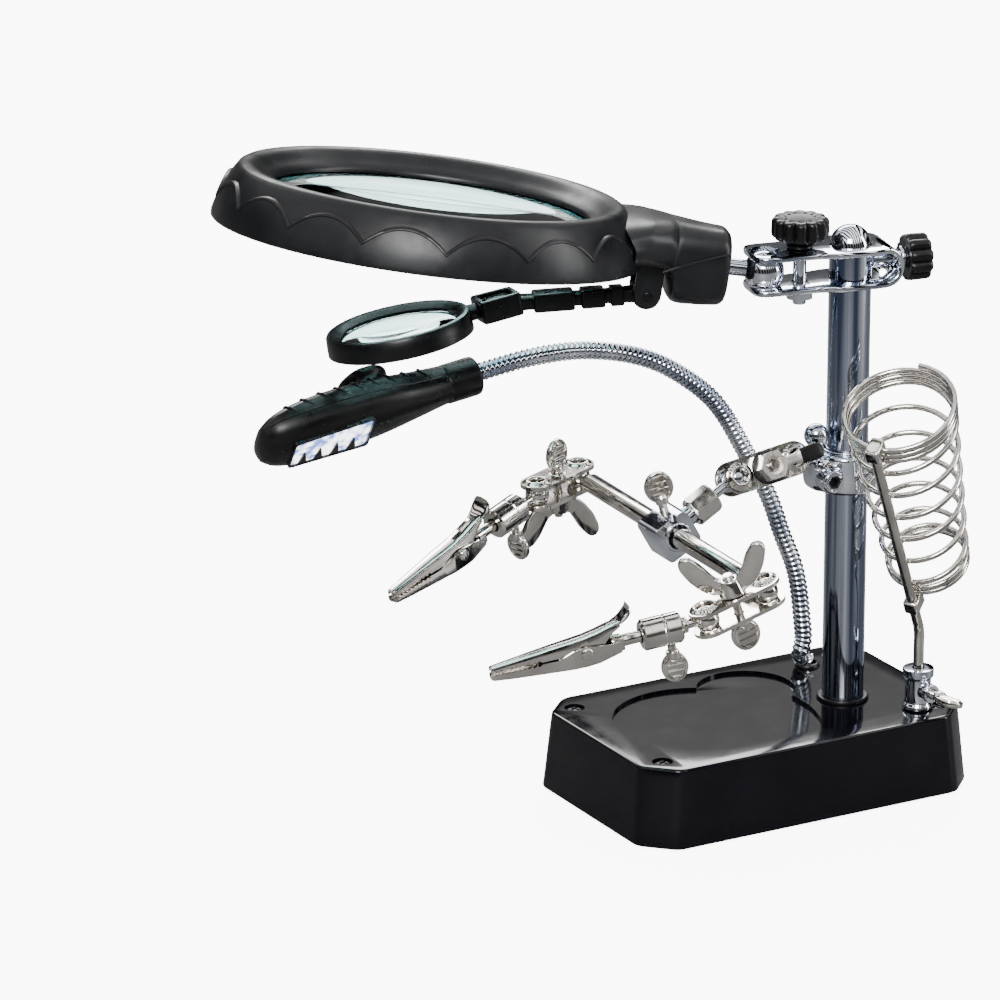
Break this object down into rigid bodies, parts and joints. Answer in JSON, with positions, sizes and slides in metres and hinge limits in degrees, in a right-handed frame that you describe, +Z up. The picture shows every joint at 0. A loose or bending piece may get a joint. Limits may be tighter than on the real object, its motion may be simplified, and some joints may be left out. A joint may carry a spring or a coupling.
{
  "type": "helping hands clamp",
  "caption": "Helping hands stand with lens head, fold-out lens, gooseneck lamp, clips on ball clamps and soldering-iron coil.",
  "frame": {"origin": "centre of the anti-slip pad's underside, on the bench", "axes": "+Z up, -Y the long front side of the base, +X the end where the post and iron coil stand"},
  "size_m": [0.2087, 0.1738, 0.1987],
  "materials": {
    "base_plastic": "high-gloss injection-moulded black plastic",
    "black_plastic": "fine-grained black plastic",
    "head_plastic": "satin charcoal plastic, fine grain",
    "chrome": "bright chrome plate",
    "nickel": "bright nickel plate, stamped edges",
    "lens": "clear lens with a faint teal coating",
    "iron": "plain cast or blackened steel",
    "rubber": "soft matt anti-slip sheet",
    "led": "clear cover over lit white lamps",
    "board": "white circuit board and lamp lenses"
  },
  "bodies": {
    "base": {"base_shell": "base_plastic", "base_plate": "black_plastic", "base_pad": "rubber", "ballast_weight": "iron", "case_screw_1": "iron", "case_screw_2": "iron", "case_screw_3": "iron", "case_screw_4": "iron", "power_inlet": "black_plastic", "post": "chrome", "post_cap": "chrome", "gooseneck": "chrome", "lamp_shell": "black_plastic", "led_board": "board", "led_window": "led", "holder_socket": "chrome"},
    "top_clamp": {"clamp_plates": "chrome", "clamp_nut": "chrome"},
    "clamp_knob": {"clamp_knob": "black_plastic"},
    "clamp_side_knob": {"clamp_side_knob": "black_plastic"},
    "head_stem": {"head_stem": "chrome"},
    "head": {"head_shell": "head_plastic", "head_under_ring": "head_plastic", "main_lens": "lens"},
    "lens_arm": {"lens_arm": "black_plastic"},
    "small_lens": {"small_lens_ring": "black_plastic", "small_lens": "lens"},
    "lamp_button": {"lamp_button": "black_plastic"},
    "bracket_liner": {"bracket_liner": "chrome"},
    "bracket": {"bracket": "chrome"},
    "bracket_screw": {"bracket_screw": "chrome"},
    "elbow": {"elbow_plate_front": "nickel", "elbow_plate_back": "nickel", "elbow_bolt": "nickel"},
    "elbow_lever": {"elbow_lever": "nickel"},
    "block": {"crossbar_block": "chrome"},
    "block_screw": {"block_screw": "nickel"},
    "crossbar": {"crossbar": "nickel"},
    "holder": {"holder_rod": "nickel", "iron_coil": "nickel"},
    "holder_screw": {"holder_screw": "nickel"},
    "front_clamp": {"front_plate_upper": "nickel", "front_plate_lower": "nickel", "front_clamp_screw": "nickel"},
    "front_wing_nut": {"front_wing_nut": "nickel"},
    "front_stem": {"front_stem": "nickel"},
    "front_clip": {"front_sleeve": "nickel", "front_jaw_lower": "nickel"},
    "front_sleeve_screw": {"front_sleeve_screw": "nickel"},
    "front_jaw": {"front_jaw_upper": "nickel"},
    "back_clamp": {"back_plate_upper": "nickel", "back_plate_lower": "nickel", "back_clamp_screw": "nickel"},
    "back_wing_nut": {"back_wing_nut": "nickel"},
    "back_stem": {"back_stem": "nickel"},
    "back_clip": {"back_sleeve": "nickel", "back_jaw_lower": "nickel"},
    "back_sleeve_screw": {"back_sleeve_screw": "nickel"},
    "back_jaw": {"back_jaw_upper": "nickel"}
  },
  "joints": [
    {"name": "clamp_turn", "type": "hinge", "parent": "base", "child": "top_clamp", "pos_m": [0.0272, -0.0059, 0], "axis": [0, 0, 1], "continuous": true},
    {"name": "clamp_knob_turn", "type": "hinge", "parent": "top_clamp", "child": "clamp_knob", "pos_m": [0.01173, -0.00268, 0], "axis": [0, 0, 1], "continuous": true},
    {"name": "clamp_side_knob_turn", "type": "hinge", "parent": "top_clamp", "child": "clamp_side_knob", "pos_m": [0.0272, -0.0059, 0.1613], "axis": [0.979, -0.204, 0], "continuous": true},
    {"name": "head_tilt", "type": "hinge", "parent": "top_clamp", "child": "head_stem", "pos_m": [0.00077, -0.00039, 0.1613], "axis": [0.404, 0.9082, -0.1091], "range_deg": [-3, 11]},
    {"name": "head_roll", "type": "hinge", "parent": "head_stem", "child": "head", "pos_m": [0.00077, -0.00039, 0.1613], "axis": [0.8987, -0.4163, -0.1376], "range_deg": [-8, 8]},
    {"name": "lens_arm_fold", "type": "hinge", "parent": "head", "child": "lens_arm", "pos_m": [-0.032, 0.01245, 0.15598], "axis": [0.404, 0.9082, -0.1091], "range_deg": [-3, 9]},
    {"name": "small_lens_turn", "type": "hinge", "parent": "lens_arm", "child": "small_lens", "pos_m": [-0.1014, 0.0351, 0.1484], "axis": [-0.9678, 0.187, -0.1686], "range_deg": [-8, 8]},
    {"name": "lamp_button_press", "type": "slide", "parent": "base", "child": "lamp_button", "axis": [0.0766, -0.7751, -0.6272], "range_m": [0, 0.0008], "stiffness_N_per_m": 400},
    {"name": "bracket_slide", "type": "slide", "parent": "base", "child": "bracket_liner", "axis": [0, 0, 1], "range_m": [-0.03, 0.012]},
    {"name": "bracket_turn", "type": "hinge", "parent": "bracket_liner", "child": "bracket", "pos_m": [0.0272, -0.0059, 0], "axis": [0, 0, 1], "range_deg": [-30, 25]},
    {"name": "bracket_screw_turn", "type": "hinge", "parent": "bracket", "child": "bracket_screw", "pos_m": [0.0164, -0.0059, 0.098], "axis": [0, 0, 1], "continuous": true},
    {"name": "elbow_swing", "type": "hinge", "parent": "bracket", "child": "elbow", "pos_m": [0.0072, -0.0062, 0.1036], "axis": [-0.059, -0.907, 0.417], "range_deg": [-6, 15]},
    {"name": "elbow_lever_turn", "type": "hinge", "parent": "elbow", "child": "elbow_lever", "pos_m": [-0.00235, -0.0062, 0.10225], "axis": [-0.059, -0.907, 0.417], "range_deg": [-90, 90]},
    {"name": "block_swing", "type": "hinge", "parent": "elbow", "child": "block", "pos_m": [-0.01191, -0.0062, 0.1009], "axis": [-0.059, -0.907, 0.417], "range_deg": [-8, 15]},
    {"name": "block_screw_turn", "type": "hinge", "parent": "block", "child": "block_screw", "pos_m": [-0.0342, -0.0062, 0.088], "axis": [-0.2496, 0, 0.9684], "continuous": true},
    {"name": "crossbar_turn", "type": "hinge", "parent": "block", "child": "crossbar", "pos_m": [-0.0342, -0.0062, 0.088], "axis": [0.0471, 0.9989, 0], "range_deg": [-30, 12]},
    {"name": "holder_turn", "type": "hinge", "parent": "base", "child": "holder", "pos_m": [0.042, -0.0245, 0.025], "axis": [0, 0, 1], "range_deg": [0, 45]},
    {"name": "holder_screw_turn", "type": "hinge", "parent": "base", "child": "holder_screw", "pos_m": [0.042, -0.0245, 0.0313], "axis": [0.1, -0.995, 0], "continuous": true},
    {"name": "front_clamp_swing", "type": "hinge", "parent": "crossbar", "child": "front_clamp", "pos_m": [-0.0367, -0.0643, 0.088], "axis": [-0.3092, 0.0357, 0.9503], "range_deg": [-20, 20]},
    {"name": "front_wing_nut_turn", "type": "hinge", "parent": "front_clamp", "child": "front_wing_nut", "pos_m": [-0.0458, -0.06325, 0.085], "axis": [-0.3092, 0.0357, 0.9503], "continuous": true},
    {"name": "front_arm_swing", "type": "hinge", "parent": "front_clamp", "child": "front_stem", "pos_m": [-0.0549, -0.0622, 0.082], "axis": [-0.3092, 0.0357, 0.9503], "range_deg": [-20, 20]},
    {"name": "front_clip_twist", "type": "hinge", "parent": "front_stem", "child": "front_clip", "pos_m": [-0.0549, -0.0622, 0.082], "axis": [-0.9578, 0.2406, -0.1574], "continuous": true},
    {"name": "front_sleeve_screw_turn", "type": "hinge", "parent": "front_clip", "child": "front_sleeve_screw", "pos_m": [-0.06592, -0.05943, 0.08019], "axis": [0.1526, -0.0383, -0.9875], "continuous": true},
    {"name": "front_jaw_open", "type": "hinge", "parent": "front_clip", "child": "front_jaw", "pos_m": [-0.09034, -0.0533, 0.07618], "axis": [0.2436, 0.9699, 0], "range_deg": [0, 15], "stiffness_Nm_per_rad": 0.25, "springref_deg": -11.46},
    {"name": "back_clamp_swing", "type": "hinge", "parent": "crossbar", "child": "back_clamp", "pos_m": [-0.0312, 0.0523, 0.088], "axis": [-0.0536, -0.0199, 0.9984], "range_deg": [-12, 12]},
    {"name": "back_wing_nut_turn", "type": "hinge", "parent": "back_clamp", "child": "back_wing_nut", "pos_m": [-0.0402, 0.04895, 0.08745], "axis": [-0.0536, -0.0199, 0.9984], "continuous": true},
    {"name": "back_arm_swing", "type": "hinge", "parent": "back_clamp", "child": "back_stem", "pos_m": [-0.0492, 0.0456, 0.0869], "axis": [-0.0536, -0.0199, 0.9984], "range_deg": [-12, 12]},
    {"name": "back_clip_twist", "type": "hinge", "parent": "back_stem", "child": "back_clip", "pos_m": [-0.0492, 0.0456, 0.0869], "axis": [-0.9228, -0.2949, -0.2478], "continuous": true},
    {"name": "back_sleeve_screw_turn", "type": "hinge", "parent": "back_clip", "child": "back_sleeve_screw", "pos_m": [-0.05981, 0.04221, 0.08405], "axis": [0.236, 0.0754, -0.9688], "continuous": true},
    {"name": "back_jaw_open", "type": "hinge", "parent": "back_clip", "child": "back_jaw", "pos_m": [-0.08334, 0.03469, 0.07773], "axis": [-0.3044, 0.9525, 0], "range_deg": [0, 15], "stiffness_Nm_per_rad": 0.25, "springref_deg": -11.46}
  ]
}
